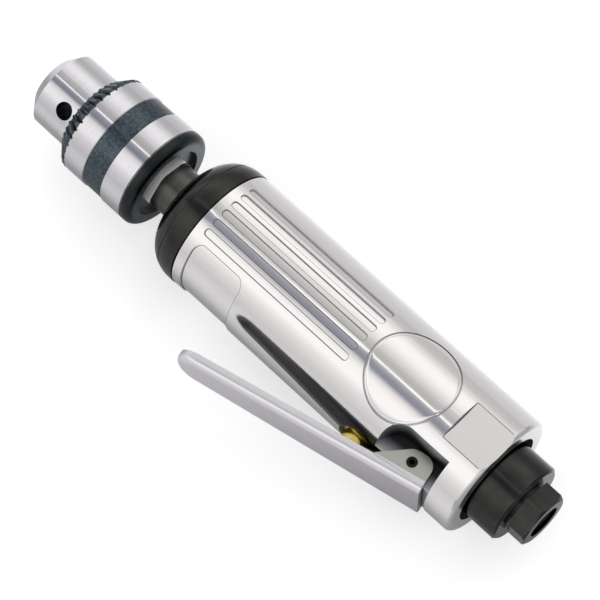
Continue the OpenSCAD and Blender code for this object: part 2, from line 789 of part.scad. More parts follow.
// Rotor: sun pinion, shaft and slotted body in one piece
module rotor() {
    color("darkgray") to_frame() difference() {
        union() {
            translate([0, 0, sun_from]) linear_extrude(sun_to - sun_from + cut)
                polygon(gear_points(sun_teeth, sun_pitch_r, sun_root_r, sun_tip_r, tooth_play, 0));
            rod(sun_shaft_r, sun_to, rotor_front_from);
            rod(shaft_r, rotor_front_from, rear_plate_to);
            rod(rotor_r, rotor_from, rotor_to);
        }
        around(blade_count, 180 / blade_count)
            translate([slot_floor_r, -slot_w / 2, rotor_from - cut])
                cube([rotor_r, slot_w, rotor_to - rotor_from + 2 * cut]);
    }
}
module rotor_blades() {
    color("saddlebrown") to_frame() around(blade_count, 180 / blade_count)
        translate([slot_floor_r + face_gap, -blade_t / 2, rotor_from])
            cube([rotor_r - slot_floor_r - 2 * face_gap, blade_t, rotor_to - rotor_from]);
}
module cylinder_liner() {
    color("silver") to_frame() difference() {
        rod(stack_r, liner_from, liner_to);
        translate([0, -liner_offset, 0]) rod(liner_bore / 2, liner_from - cut, liner_to + cut);
        dowel_hole();
        for (i = [1 : port_count])
            cross_rod(port_r, liner_from + i * liner_len / (port_count + 1), -barrel_r, 0);
    }
}
module motor_dowel() {
    color("silver") to_frame() translate([0, dowel_at_r, 0])
        rod(dowel_r, front_plate_from + face_gap, rear_plate_to);
}
module rear_end_plate() {
    color("slategray") to_frame() difference() {
        rod(stack_r, rear_plate_from, rear_plate_to);
        rod(plate_hole_r, rear_plate_from - cut, rear_plate_to + cut);
        rod(bearing_r, rear_bearing_from, rear_plate_to + cut);
        dowel_hole();
        for (side = [-1, 1])
            rotate([0, 0, side * 45]) translate([0, -feed_at_r, 0])
                rod(feed_r, rear_plate_from - cut, rear_plate_to + cut);
    }
}
module rotor_rear_outer() {
    to_frame() bearing_outer(bearing_r, rotor_pitch_r, rotor_ball_r, rear_bearing_from, rear_plate_to);
}
module rotor_rear_inner() {
    to_frame() bearing_inner(shaft_r, rotor_pitch_r, rotor_ball_r, rear_bearing_from, rear_plate_to);
}
module rotor_rear_balls() {
    to_frame() bearing_balls(rotor_pitch_r, rotor_ball_r, rotor_ball_count,
        rear_bearing_from, rear_plate_to);
}

// Housing: polished barrel with flutes, badge field, flats, recess, ear pockets and air passages
module housing() {
    color("gainsboro") to_frame() difference() {
        barrel();
        rod(barrel_bore_r, barrel_front - cut, barrel_bore_to);
        for (side = [0, 180]) rotate([0, 0, side]) flutes();
        badge_line();
        for (side = [-1, 1]) flat_cut(side);
        front_recess();
        for (side = [0, 1]) mirror([side, 0, 0]) ear_pocket();
        tail_relief();
        translate([-barrel_r, pivot_y, pivot_at]) rotate([0, 90, 0])
            cylinder(r = lever_pin_r, h = barrel_d);
        cross_rod(valve_bore_r, valve_at, valve_bore_low, barrel_r + cut);
        rod(passage_r, valve_at, spigot_from + cut);
        rod(spigot_r, spigot_from - free_gap, barrel_rear);
        rod(exhaust_r, collar_from, barrel_rear + cut);
        translate([0, (bushing_low + seat_top) / 2 + feed_r, 0])
            rod(feed_r, barrel_bore_to - cut, valve_at);
        for (side = [-1, 1])
            rotate([0, 0, side * exhaust_port_turn]) translate([0, -exhaust_port_arm, 0])
                rod(exhaust_port_r, barrel_bore_to - cut, collar_from + cut);
    }
}
module barrel() {
    rotate_extrude() {
        polygon([[0, barrel_front], [barrel_r - front_chamfer, barrel_front],
            [barrel_r, barrel_front + front_chamfer], [barrel_r, barrel_rear - rear_round],
            [barrel_r - rear_round, barrel_rear], [0, barrel_rear]]);
        translate([barrel_r - rear_round, barrel_rear - rear_round]) circle(r = rear_round);
    }
}
module flutes() {
    from = barrel_front + flute_start;
    difference() {
        for (i = [0 : flute_count - 1])
            rotate([0, 0, flute_turn + (i - (flute_count - 1) / 2) * flute_pitch - 90])
                translate([0, barrel_r - 2 * flute_depth, from]) rotate([-90, 0, 0])
                    linear_extrude(barrel_r) translate([-flute_w / 2, -flute_len])
                        rounded([flute_w, flute_len], flute_end_share * flute_w);
        rod(barrel_r - flute_depth, barrel_front, barrel_rear);
    }
}
module badge_line() {
    badge_at = barrel_rear - badge_from_rear;
    difference() {
        translate([0, 0, badge_at]) rotate([0, 90, 0]) difference() {
            cylinder(r = badge_d / 2 + badge_line_w / 2, h = barrel_d);
            translate([0, 0, -cut]) cylinder(r = badge_d / 2 - badge_line_w / 2, h = barrel_d + 2 * cut);
        }
        rod(barrel_r - badge_line_depth, barrel_front, barrel_rear);
    }
}
module flat_cut(side) {
    translate([side * (barrel_r - flat_depth + barrel_r / 2), 0, barrel_rear - flats_len / 2 + cut / 2])
        cube([barrel_r, barrel_d, flats_len + cut], center = true);
}
module front_recess() {
    from = barrel_front + recess_start;
    difference() {
        translate([0, 0, from]) rotate([-90, 0, 0]) linear_extrude(barrel_d)
            translate([-recess_w / 2, -recess_len]) rounded([recess_w, recess_len], recess_round);
        rod(barrel_r - recess_depth, barrel_front, barrel_rear);
    }
}
module rounded(size, r) {
    translate([r, 0]) square([size[0] - 2 * r, size[1]]);
    translate([0, r]) square([size[0], size[1] - 2 * r]);
    for (i = [0, 1], j = [0, 1])
        translate([r + i * (size[0] - 2 * r), r + j * (size[1] - 2 * r)]) circle(r = r);
}
module ear_pocket() {
    front = pivot_at - pocket_front;
    rear = pivot_at + pocket_rear;
    corner = [front + pocket_round, pocket_top + pocket_round];
    translate([tongue_w / 2, 0, 0]) rotate([90, 0, 90]) linear_extrude(barrel_r) {
        translate([pocket_top, corner[0]]) square([barrel_r, rear - corner[0]]);
        translate([corner[1], front]) square([barrel_r, rear - front]);
        translate([corner[1], corner[0]]) circle(r = pocket_round);
    }
}
module tail_relief() {
    translate([-barrel_r, tongue_top, pivot_at - lever_pin_r])
        cube([barrel_d, barrel_r, pocket_rear + lever_pin_r]);
}

// Throttle lever: pressed channel that tapers to a round tip, with two ears on the pin
module throttle_lever() {
    color("lightgray") to_frame() translate([0, pivot_y, pivot_at])
    rotate([lever_rise, 0, 0]) difference() {
        union() {
            difference() {
                channel(0, lever_low, lever_h, lever_bend);
                translate([0, 0, cut]) channel(lever_t, lever_low - cut, lever_in, lever_bend / 4);
            }
            for (side = [0, 1]) mirror([side, 0, 0]) ear();
        }
        translate([-lever_w, 0, 0]) rotate([0, 90, 0]) cylinder(r = lever_pin_r + run_gap, h = 2 * lever_w);
    }
}
module channel(inset, low, high, bend) {
    tip_r = lever_tip_w / 2 - inset;
    hull() {
        translate([0, 0, lever_tail - sheet_slice]) linear_extrude(sheet_slice)
            edge_section(lever_w / 2 - inset, low, high, bend, true);
        translate([0, 0, -lever_len + lever_tip_w / 2]) rotate([-90, 0, 0])
            rotate_extrude($fn = 48) edge_section(tip_r, low, high, bend, false);
    }
}
module edge_section(half, low, high, bend, both) {
    translate([both ? -half : 0, low]) square([both ? 2 * half : half, high - low - bend]);
    translate([both ? bend - half : 0, low]) square([both ? 2 * (half - bend) : half - bend, high - low]);
    for (side = both ? [-1, 1] : [1]) intersection() {
        translate([side * (half - bend), high - bend]) circle(r = bend, $fn = 32);
        translate([side > 0 ? 0 : -half, low]) square([half, high - low]);
    }
}
module ear() {
    translate([ear_in, 0, 0]) rotate([0, 90, 0]) linear_extrude(lever_t) hull() {
        circle(r = ear_r, $fn = 32);
        translate([-ear_back, 0]) circle(r = ear_r, $fn = 32);
        translate([-lever_tail, lever_low - sheet_slice]) square([lever_tail + ear_len, 2 * sheet_slice]);
    }
}
module lever_pin() {
    color("dimgray") to_frame() translate([-lever_w / 2 - face_gap, pivot_y, pivot_at]) rotate([0, 90, 0])
        difference() {
            cylinder(r = lever_pin_r, h = lever_w + 2 * face_gap);
            translate([0, 0, -cut]) cylinder(d = lever_pin_hole_d, h = lever_w + 2 * (face_gap + cut));
        }
}

// Throttle valve: brass stem under the lever, bushing, seat, poppet and spring
module valve_stem() {
    color("goldenrod") to_frame() difference() {
        union() {
            intersection() {
                cross_rod(stem_r, valve_at, stem_shoulder, stem_top);
                translate([0, stem_top - stem_sphere_r, valve_at]) sphere(r = stem_sphere_r, $fn = 96);
            }
            cross_rod(stem_r, valve_at, stem_shoulder, stem_top - stem_sphere_r);
            cross_rod(stem_pin_r, valve_at, poppet_top, stem_shoulder + cut);
        }
        translate([0, seal_at, valve_at]) rotate([-90, 0, 0]) hoop(stem_r, 2 * seal_wire_r, 0);
    }
}
module stem_o_ring() {
    color("black") to_frame() translate([0, seal_at, valve_at]) rotate([-90, 0, 0])
        hoop(stem_r - seal_wire_r, seal_wire_r, 0);
}
module valve_poppet() { color("black") to_frame() cross_rod(poppet_r, valve_at, poppet_low, poppet_top); }
module valve_seat() {
    color("ivory") to_frame() difference() {
        cross_rod(valve_bore_r - run_gap, valve_at, seat_low, seat_top);
        cross_rod(seat_hole_r, valve_at, seat_low - cut, seat_top + cut);
    }
}
module valve_bushing() {
    color("darkkhaki") to_frame() difference() {
        cross_rod(valve_bore_r - run_gap, valve_at, bushing_low, bushing_top);
        cross_rod(stem_r + run_gap, valve_at, bushing_low - cut, bushing_top + cut);
        translate([0, bushing_low + feed_r + face_gap, 0])
            rod(feed_r - run_gap, valve_at - barrel_r, valve_at);
    }
}

// Helical spring: rings of points along the helix, joined to one tube
function coil_at(a) = [spring_r * cos(a), spring_r * sin(a),
    a / 360 * (spring_len - 2 * spring_wire_r) / spring_turns];
coil_rings = spring_turns * spring_steps;
coil_points = [
    for (i = [0 : coil_rings], j = [0 : spring_sides - 1])
        let (a = i * 360 / spring_steps, b = j * 360 / spring_sides, c = coil_at(a))
            [c[0] + spring_wire_r * cos(b) * cos(a), c[1] + spring_wire_r * cos(b) * sin(a),
                c[2] + spring_wire_r * sin(b)]
];
coil_faces = concat(
    [[for (j = [0 : spring_sides - 1]) j]],
    [[for (j = [spring_sides - 1 : -1 : 0]) coil_rings * spring_sides + j]],
    [for (i = [0 : coil_rings - 1], j = [0 : spring_sides - 1], half = [0, 1])
        let (n = (j + 1) % spring_sides, p = i * spring_sides, q = p + spring_sides)
            half == 0 ? [p + j, q + j, p + n] : [q + j, q + n, p + n]]);
module valve_spring() {
    color("silver") to_frame() translate([0, valve_bore_low + spring_wire_r, valve_at])
        rotate([-90, 0, 0]) polyhedron(coil_points, coil_faces);
}

// Rear collar, muffler ring and air inlet
module exhaust_muffler() {
    color("dimgray") to_frame()
        ring(exhaust_r - run_gap, collar_r + run_gap, collar_from + seat_gap, collar_from + muffler_len);
}
module rear_collar() {
    color([0.14, 0.15, 0.14]) to_frame() difference() {
        union() {
            rod(spigot_r - run_gap, spigot_from, collar_from + cut);
            rotate_extrude() polygon([[0, collar_from], [collar_r, collar_from],
                [collar_r, collar_to - collar_edge],
                [collar_r - collar_edge, collar_to], [0, collar_to]]);
        }
        rod(passage_r, spigot_from - cut, collar_to + cut);
        rod(inlet_thread_r, inlet_from - face_gap, collar_to + cut);
        hoop(spigot_r - run_gap, 2 * seal_wire_r, spigot_from + spigot_len / 2);
    }
}
module collar_o_ring() {
    color("black") to_frame()
        hoop(spigot_r - run_gap - seal_wire_r, seal_wire_r, spigot_from + spigot_len / 2);
}
module inlet_bushing() {
    color([0.2, 0.21, 0.2]) to_frame() difference() {
        union() {
            rod(inlet_thread_r - seat_gap, inlet_from, collar_to);
            rod(hex_neck_r, collar_to - cut, hex_from + cut);
            hexagon();
        }
        rod(inlet_bore_r, hex_to - inlet_bore_len, hex_to + cut);
        rod(screen_r, screen_from, hex_to);
        rod(passage_r - free_gap, inlet_from - cut, hex_to);
    }
}
module hexagon() {
    corner_r = hex_w / 2 / cos(30);
    intersection() {
        rotate([0, 0, hex_turn]) translate([0, 0, hex_from]) cylinder(r = corner_r, h = hex_len, $fn = 6);
        union() {
            rod(corner_r + cut, hex_from, hex_to - hex_chamfer);
            translate([0, 0, hex_to - hex_chamfer])
                cylinder(r1 = corner_r, r2 = corner_r - hex_chamfer_share * hex_chamfer, h = hex_chamfer);
        }
    }
}
module inlet_screen() {
    color("khaki") to_frame() difference() {
        rod(screen_r - seat_gap, screen_from, screen_from + screen_t);
        rod(screen_hole_r, screen_from - cut, screen_from + screen_t + cut);
        for (i = [1 : screen_rings])
            around(6 * i) translate([i * screen_pitch, 0, 0])
                rod(screen_hole_r, screen_from - cut, screen_from + screen_t + cut);
    }
}

chuck_body();
chuck_sleeve();
chuck_nut();
jaw_1();
jaw_2();
jaw_3();
chuck_screw();
spindle();
planet_pins();
planet_gear_1();
planet_gear_2();
planet_gear_3();
ring_gear();
spindle_seal();
front_bearing_outer();
front_bearing_inner();
front_bearing_balls();
clamp_nut();
gear_plate();
carrier_bush();
front_end_plate();
rotor_front_outer();
rotor_front_inner();
rotor_front_balls();
rotor();
rotor_blades();
cylinder_liner();
motor_dowel();
rear_end_plate();
rotor_rear_outer();
rotor_rear_inner();
rotor_rear_balls();
housing();
throttle_lever();
lever_pin();
valve_stem();
stem_o_ring();
valve_poppet();
valve_seat();
valve_bushing();
valve_spring();
exhaust_muffler();
rear_collar();
collar_o_ring();
inlet_bushing();
inlet_screen();
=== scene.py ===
# %% [markdown]
# A straight air drill, dressed for the studio
#
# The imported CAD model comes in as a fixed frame. This lesson gives every solid the finish of the
# real metal, rubber or brass, adds the few thin details that are easier to compute as surfaces, and
# sets up a camera and a light tent like the ones that such tools are photographed in.

# %% Load the frame
import bpy
import numpy as np
from mathutils import Matrix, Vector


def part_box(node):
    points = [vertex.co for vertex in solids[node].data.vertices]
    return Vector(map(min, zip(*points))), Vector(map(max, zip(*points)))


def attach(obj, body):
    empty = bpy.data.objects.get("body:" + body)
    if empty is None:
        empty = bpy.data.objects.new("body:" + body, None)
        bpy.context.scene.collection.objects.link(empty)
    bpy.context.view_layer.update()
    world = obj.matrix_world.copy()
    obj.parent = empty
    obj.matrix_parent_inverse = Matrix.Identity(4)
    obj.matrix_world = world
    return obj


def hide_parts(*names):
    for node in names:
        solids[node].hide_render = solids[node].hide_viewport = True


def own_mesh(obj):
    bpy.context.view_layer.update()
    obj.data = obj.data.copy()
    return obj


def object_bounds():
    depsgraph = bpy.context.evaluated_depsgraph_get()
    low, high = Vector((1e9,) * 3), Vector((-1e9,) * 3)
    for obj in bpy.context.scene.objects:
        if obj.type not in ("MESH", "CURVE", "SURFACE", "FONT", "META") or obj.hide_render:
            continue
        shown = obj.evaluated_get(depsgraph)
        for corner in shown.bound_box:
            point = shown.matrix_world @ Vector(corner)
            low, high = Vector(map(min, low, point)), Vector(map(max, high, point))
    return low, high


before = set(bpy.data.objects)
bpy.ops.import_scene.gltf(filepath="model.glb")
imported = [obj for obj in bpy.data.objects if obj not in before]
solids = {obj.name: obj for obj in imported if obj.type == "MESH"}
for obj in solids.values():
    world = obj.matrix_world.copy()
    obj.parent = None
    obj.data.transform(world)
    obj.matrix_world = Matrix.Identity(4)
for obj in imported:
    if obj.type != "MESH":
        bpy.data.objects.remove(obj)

cad_box = [list(map(float, corner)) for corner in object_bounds()]
print(len(solids), "solids, box", np.round(cad_box, 4).tolist())

# %% [markdown]
# Helpers for colours and nodes
#
# Colours are easiest to read as the hex values of a paint card, but shaders work in linear light, so
# one function converts them. Another adds a shader node, sets its settings, and links or fills its
# sockets in one line, which keeps each finish short enough to read at a glance. Sizes are written in
# millimetres, and MM turns them into Blender's metres.

# %% Colour and node helpers
MM = 0.001
BLACK, WHITE = (0, 0, 0, 1), (1, 1, 1, 1)


def linear(code):
    """sRGB hex to linear RGBA: v/12.92 near black, else ((v + 0.055)/1.055)^2.4."""
    v = np.array([int(code[i:i + 2], 16) for i in (1, 3, 5)]) / 255
    rgb = np.where(v <= 0.04045, v / 12.92, ((v + 0.055) / 1.055) ** 2.4)
    return (*map(float, rgb), 1.0)


def add(tree, kind, inputs=None, stops=None, change="LINEAR", take=0, **settings):
    """Adds a node, fills or links its named inputs, sets a ramp's stops, and returns one output.

    change says how a ramp goes from stop to stop. take is the output's name or number, or None for
    the node itself.
    """
    made = tree.nodes.new("ShaderNode" + kind)
    for key, value in settings.items():
        setattr(made, key, value)
    for key, value in (inputs or {}).items():
        if isinstance(value, bpy.types.NodeSocket):
            tree.links.new(value, made.inputs[key])
        else:
            made.inputs[key].default_value = value
    for i, (place, colour) in enumerate(stops or []):
        element = made.color_ramp.elements[i] if i < 2 else made.color_ramp.elements.new(place)
        element.position = place
        element.color = colour
    if stops:
        made.color_ramp.interpolation = change
    return made if take is None else made.outputs[take]


def new_finish(name):
    """An empty material: returns it, its node tree, and the socket that the shader goes to."""
    made = bpy.data.materials.new(name)
    made.use_nodes = True
    made.node_tree.nodes.clear()
    return made, made.node_tree, made.node_tree.nodes.new("ShaderNodeOutputMaterial").inputs[0]


print("white is", linear("#FFFFFF"), "mid grey is", round(linear("#808080")[0], 3))

# %% [markdown]
# Places on a turned tool
#
# Most finishes of this tool change along its axis or with the distance from it, because its pieces
# were turned and ground in a lathe. The axis is X and the chuck's nose is at zero, so the distance
# behind the nose is -X, and the distance from the axis is the length of (0, Y, Z). A Compare node
# then picks out a stretch by its middle and its half width. Tool marks are noise with long thin
# cells, along the axis or round it. Where the pieces start and end is read from the frame.

# %% Helpers for places along and round the axis
def axis_places(tree):
    """Object coordinates, the distance behind the nose (-X) and that from the axis (|(0, Y, Z)|)."""
    place = add(tree, "TexCoord", take="Object")
    behind = add(tree, "VectorMath", {0: place, 1: (-1, 0, 0)}, take="Value", operation="DOT_PRODUCT")
    across = add(tree, "VectorMath", {0: place, 1: (0, 1, 1)}, operation="MULTIPLY")
    radius = add(tree, "VectorMath", {0: across}, take="Value", operation="LENGTH")
    return place, behind, radius


def span(start, end):
    """Middle and half width in metres, as a Compare node takes them, of a stretch in millimetres."""
    return {1: (start + end) / 2 * MM, 2: (end - start) / 2 * MM}


def cells(along, across):
    """Mapping scale of a pattern whose cells are that long along the axis and that wide, in millimetres."""
    return 1 / (along * MM), 1 / (across * MM), 1 / (across * MM)


def ends(name):
    """How far behind the nose a solid starts and ends, in millimetres."""
    low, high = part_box(name)
    return -high[0] / MM, -low[0] / MM


barrel_front, barrel_rear = ends("housing")
barrel_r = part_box("housing")[1][2] / MM
print("barrel from", round(barrel_front, 2), "to", round(barrel_rear, 2), "mm, radius", round(barrel_r, 2))

# %% [markdown]
# Polished aluminium: what the buffing wheel misses
#
# The barrel is an aluminium casting that was turned and then buffed to a mirror on cloth wheels. A
# wheel doesn't reach into hollows: the walls of the flutes stay pale and matt, and the turned line round
# the plate keeps a grey film. The pockets beside the lever's ears are rough too, and their colour is
# painted shade, dark at the bottom and pale at the lip. These places could be separate solids, but a
# mask by formula leaves the solid whole. A narrow wall lies between two distances from the axis, and a
# pocket is what lies deeper on the lever's side.

# %% Find the hollows of the barrel
flute_start, flute_len = barrel_front + 3.9, 60.4
turned_from, turned_to = barrel_front + 1.8, barrel_rear - 20.5
fluted_to = flute_start + flute_len + 1
pocket_from, pocket_to = barrel_rear - 46.5, barrel_rear - 5.5
wall_low, wall_high = barrel_r - 0.4, barrel_r - 0.07
pocket_bottom_r, pocket_lip_r = 16.5, 21.2


def barrel_hollows(tree, behind, radius, lever_side):
    """Masks of all narrow walls, of the flutes' walls alone, and of the pockets."""
    wall = add(tree, "Math", {0: radius, **span(wall_low, wall_high)}, operation="COMPARE")
    turned_part = add(tree, "Math", {0: behind, **span(turned_from, turned_to)}, operation="COMPARE")
    groove = add(tree, "Math", {0: wall, 1: turned_part}, operation="MULTIPLY")
    fluted_part = add(tree, "Math", {0: behind, **span(turned_from, fluted_to)}, operation="COMPARE")
    flute_wall = add(tree, "Math", {0: wall, 1: fluted_part}, operation="MULTIPLY")
    pocket_part = add(tree, "Math", {0: behind, **span(pocket_from, pocket_to)}, operation="COMPARE")
    sunk = add(tree, "Math", {0: radius, 1: pocket_lip_r * MM}, operation="LESS_THAN")
    low = add(tree, "Math", {0: sunk, 1: lever_side}, operation="MULTIPLY")
    pocket = add(tree, "Math", {0: low, 1: pocket_part}, operation="MULTIPLY")
    return groove, flute_wall, pocket


print("flutes end", round(flute_start + flute_len, 2), "mm behind the nose")

# %% [markdown]
# Polished aluminium: eased edges
#
# Where the flutes, the shallow front recess and the two spanner flats meet the skin, a scraper has
# eased the edge. Bevels that thin would cost many faces, so the edge's shade is painted as a dark hair
# line where the distance to a rounded rectangle is nearly zero. For the flutes that rectangle is
# repeated by wrapping the angle round the axis. The flats run
# out through the rear rim, so their rectangle reaches past it and is cut off before the rim's rounding.

# %% Draw the eased edges as lines
flute_pitch, flute_turn, flute_count = np.radians(10.9), np.radians(1.6), 6
flute_half, flute_corner, flute_line = 1.25, 1.125, 0.13
recess_middle, recess_half, recess_corner = barrel_front + 14.2, (17.4, 10.1), 3
flat_depth, flat_len, flat_past, flat_corner, rear_round = 1.4, 16.28, 4, 0.3, 1.83
flat_half = np.sqrt(barrel_r ** 2 - (barrel_r - flat_depth) ** 2)
edge_line = 0.12


def outline(tree, across, along, middle, half, corner, line):
    """1 where the distance to a rectangle less its corners is the corner radius, give or take line.

    across and along are sockets, middle is a place along, and half are half sizes, all in millimetres.
    """
    core = [(size - corner) * MM for size in half]
    spot = add(tree, "CombineXYZ", {"X": across, "Y": along})
    away = add(tree, "VectorMath", {0: spot, 1: (0, middle * MM, 0)}, operation="SUBTRACT")
    size = add(tree, "VectorMath", {0: away}, operation="ABSOLUTE")
    over = add(tree, "VectorMath", {0: size, 1: (*core, 0)}, operation="SUBTRACT")
    out = add(tree, "VectorMath", {0: over, 1: (0, 0, 0)}, operation="MAXIMUM")
    reach = add(tree, "VectorMath", {0: out}, take="Value", operation="LENGTH")
    return add(tree, "Math", {0: reach, 1: corner * MM, 2: line * MM}, operation="COMPARE")


def barrel_lines(tree, behind, y, z, lever_side):
    """Is 1 on the edges of the flutes of both flanks, of the recess and of the flats."""
    angle = add(tree, "Math", {0: y, 1: z}, operation="ARCTAN2")
    turned = add(tree, "Math", {0: angle, 1: flute_turn}, operation="ADD")
    flank = add(tree, "Math", {0: turned, 1: np.pi / 2, 2: -np.pi / 2}, operation="WRAP")
    shifted = add(tree, "Math", {0: flank, 1: flute_pitch / 2}, operation="ADD")
    local = add(tree, "Math", {0: shifted, 1: flute_pitch / 2, 2: -flute_pitch / 2}, operation="WRAP")
    arc = add(tree, "Math", {0: local, 1: barrel_r * MM}, operation="MULTIPLY")
    fluted = add(tree, "Math", {0: flank, 1: 0.0, 2: flute_count / 2 * flute_pitch}, operation="COMPARE")
    flute = outline(tree, arc, behind, flute_start + flute_len / 2, (flute_half, flute_len / 2),
                    flute_corner, flute_line)
    flute = add(tree, "Math", {0: flute, 1: fluted}, operation="MULTIPLY")
    recess = outline(tree, z, behind, recess_middle, recess_half, recess_corner, edge_line)
    recess = add(tree, "Math", {0: recess, 1: lever_side}, operation="MULTIPLY")
    flat = outline(tree, y, behind, barrel_rear + (flat_past - flat_len) / 2,
                   (flat_half, (flat_past + flat_len) / 2), flat_corner, edge_line)
    before_rim = add(tree, "Math", {0: behind, 1: (barrel_rear - rear_round) * MM}, operation="LESS_THAN")
    flat = add(tree, "Math", {0: flat, 1: before_rim}, operation="MULTIPLY")
    edges = add(tree, "Math", {0: flute, 1: recess}, operation="MAXIMUM")
    return add(tree, "Math", {0: flat, 1: edges}, operation="MAXIMUM")


print("spanner flats are", round(2 * flat_half, 2), "mm wide")

# %% [markdown]
# Polished aluminium: the finish
#
# The eye sees clean reflections of the light tent, slightly wavy because buffing never leaves a perfect
# cylinder, and a fine haze of scratches along the barrel. A metal shader with low roughness gives the
# mirror, a wide soft bump gives the waves, and a stretched noise varies the roughness. Real buffing
# scratches are a few hundredths of a millimetre wide. They are drawn ten times as wide, so that
# they show. In the flutes, matt walls scatter light like a pale grey, so the finish is less metallic.

# %% Make the barrel's finish
lever_flank = 8.5
scratch_len, scratch_w, wave_len, wave_depth = 18, 0.35, 22, 0.6


def polished_aluminium():
    made, tree, out = new_finish("Polished aluminium")
    place, behind, radius = axis_places(tree)
    _, y, z = add(tree, "SeparateXYZ", {"Vector": place}, take=None).outputs
    lever_side = add(tree, "Math", {0: y, 1: lever_flank * MM}, operation="GREATER_THAN")
    groove, flute_wall, pocket = barrel_hollows(tree, behind, radius, lever_side)
    lines = barrel_lines(tree, behind, y, z, lever_side)
    hollow = add(tree, "Math", {0: groove, 1: pocket}, operation="MAXIMUM")
    dull = add(tree, "Math", {0: lines, 1: hollow}, operation="MAXIMUM")
    cast = add(tree, "MixRGB", {"Fac": groove, "Color1": linear("#ECEAE9"), "Color2": linear("#BBBABA")})
    # The dark hair lines on the eased edges are painted shade.
    painted_edge_shade = add(tree, "MixRGB", {"Fac": lines, "Color1": cast, "Color2": linear("#808186")})
    skin = add(tree, "MixRGB", {"Fac": flute_wall, "Color1": painted_edge_shade, "Color2": linear("#E0DFDE")})
    # The pockets get painted shade: dark at the bottom, pale at the lip.
    lip = add(tree, "MapRange", {"Value": radius, "From Min": pocket_bottom_r * MM,
                                 "From Max": pocket_lip_r * MM})
    painted_pocket_shade = add(tree, "MixRGB", {"Fac": lip, "Color1": linear("#3E3F41"), "Color2": linear("#C4C5CA")})
    colour = add(tree, "MixRGB", {"Fac": pocket, "Color1": skin, "Color2": painted_pocket_shade})
    bare = add(tree, "Mix", {"Factor": flute_wall, "A": 1.0, "B": 0.35})
    along = add(tree, "Mapping", {"Vector": place, "Scale": cells(scratch_len, scratch_w)})
    scratch = add(tree, "TexNoise", {"Vector": along, "Scale": 1.0, "Detail": 3.0})
    shine = add(tree, "MapRange", {"Value": scratch, "From Min": 0.3, "From Max": 0.75,
                                   "To Min": 0.09, "To Max": 0.17})
    rough = add(tree, "Mix", {"Factor": dull, "A": shine, "B": 0.5})
    wave = add(tree, "TexNoise", {"Vector": place, "Scale": 1 / (wave_len * MM), "Detail": 1.0})
    bump = add(tree, "Bump", {"Height": wave, "Strength": 0.12, "Distance": wave_depth * MM})
    shade = add(tree, "BsdfPrincipled", {"Base Color": colour, "Metallic": bare, "Roughness": rough,
                                         "Normal": bump})
    tree.links.new(shade, out)
    return made


aluminium = polished_aluminium()
print("made", aluminium.name, "with", len(aluminium.node_tree.nodes), "nodes")

# %% [markdown]
# Chuck steel, bright and blackened
#
# A keyed chuck is blackened all over in a hot salt bath, and then the nose and two bands of the
# sleeve are ground bright. The two finishes lie on the same solids, so one material switches
# between them by the distance behind the nose. The bores keep their black, so anything well inside
# the nose's skin is black too. A thin black line of painted shade lies in the corner before the dark
# band, and the flange goes from grey in its dish to darker at its rim. The grinding wheel leaves
# rings round the axis, so the bump and the roughness change along X. They are finer on the real
# chuck than the fifth of a millimetre that is drawn here to show.

# %% Make the chuck's finish
sleeve_front, sleeve_rear = ends("chuck_sleeve")
chuck_span = 60
teeth_at, front_band_at = sleeve_front - 0.05, sleeve_front + 5.3
dark_band_at, rear_band_at, flange_at = sleeve_front + 13.3, sleeve_rear - 8.3, sleeve_rear + 0.15
corner_from, corner_to = dark_band_at - 0.05, dark_band_at + 0.35
mouth_r, skin_r, chamfer_len = 5.6, 13.09, 6
dish_r, rim_r = 15, 16.4
grind_w, grind_len, stain_w, grind_depth = 0.22, 9, 0.9, 0.02


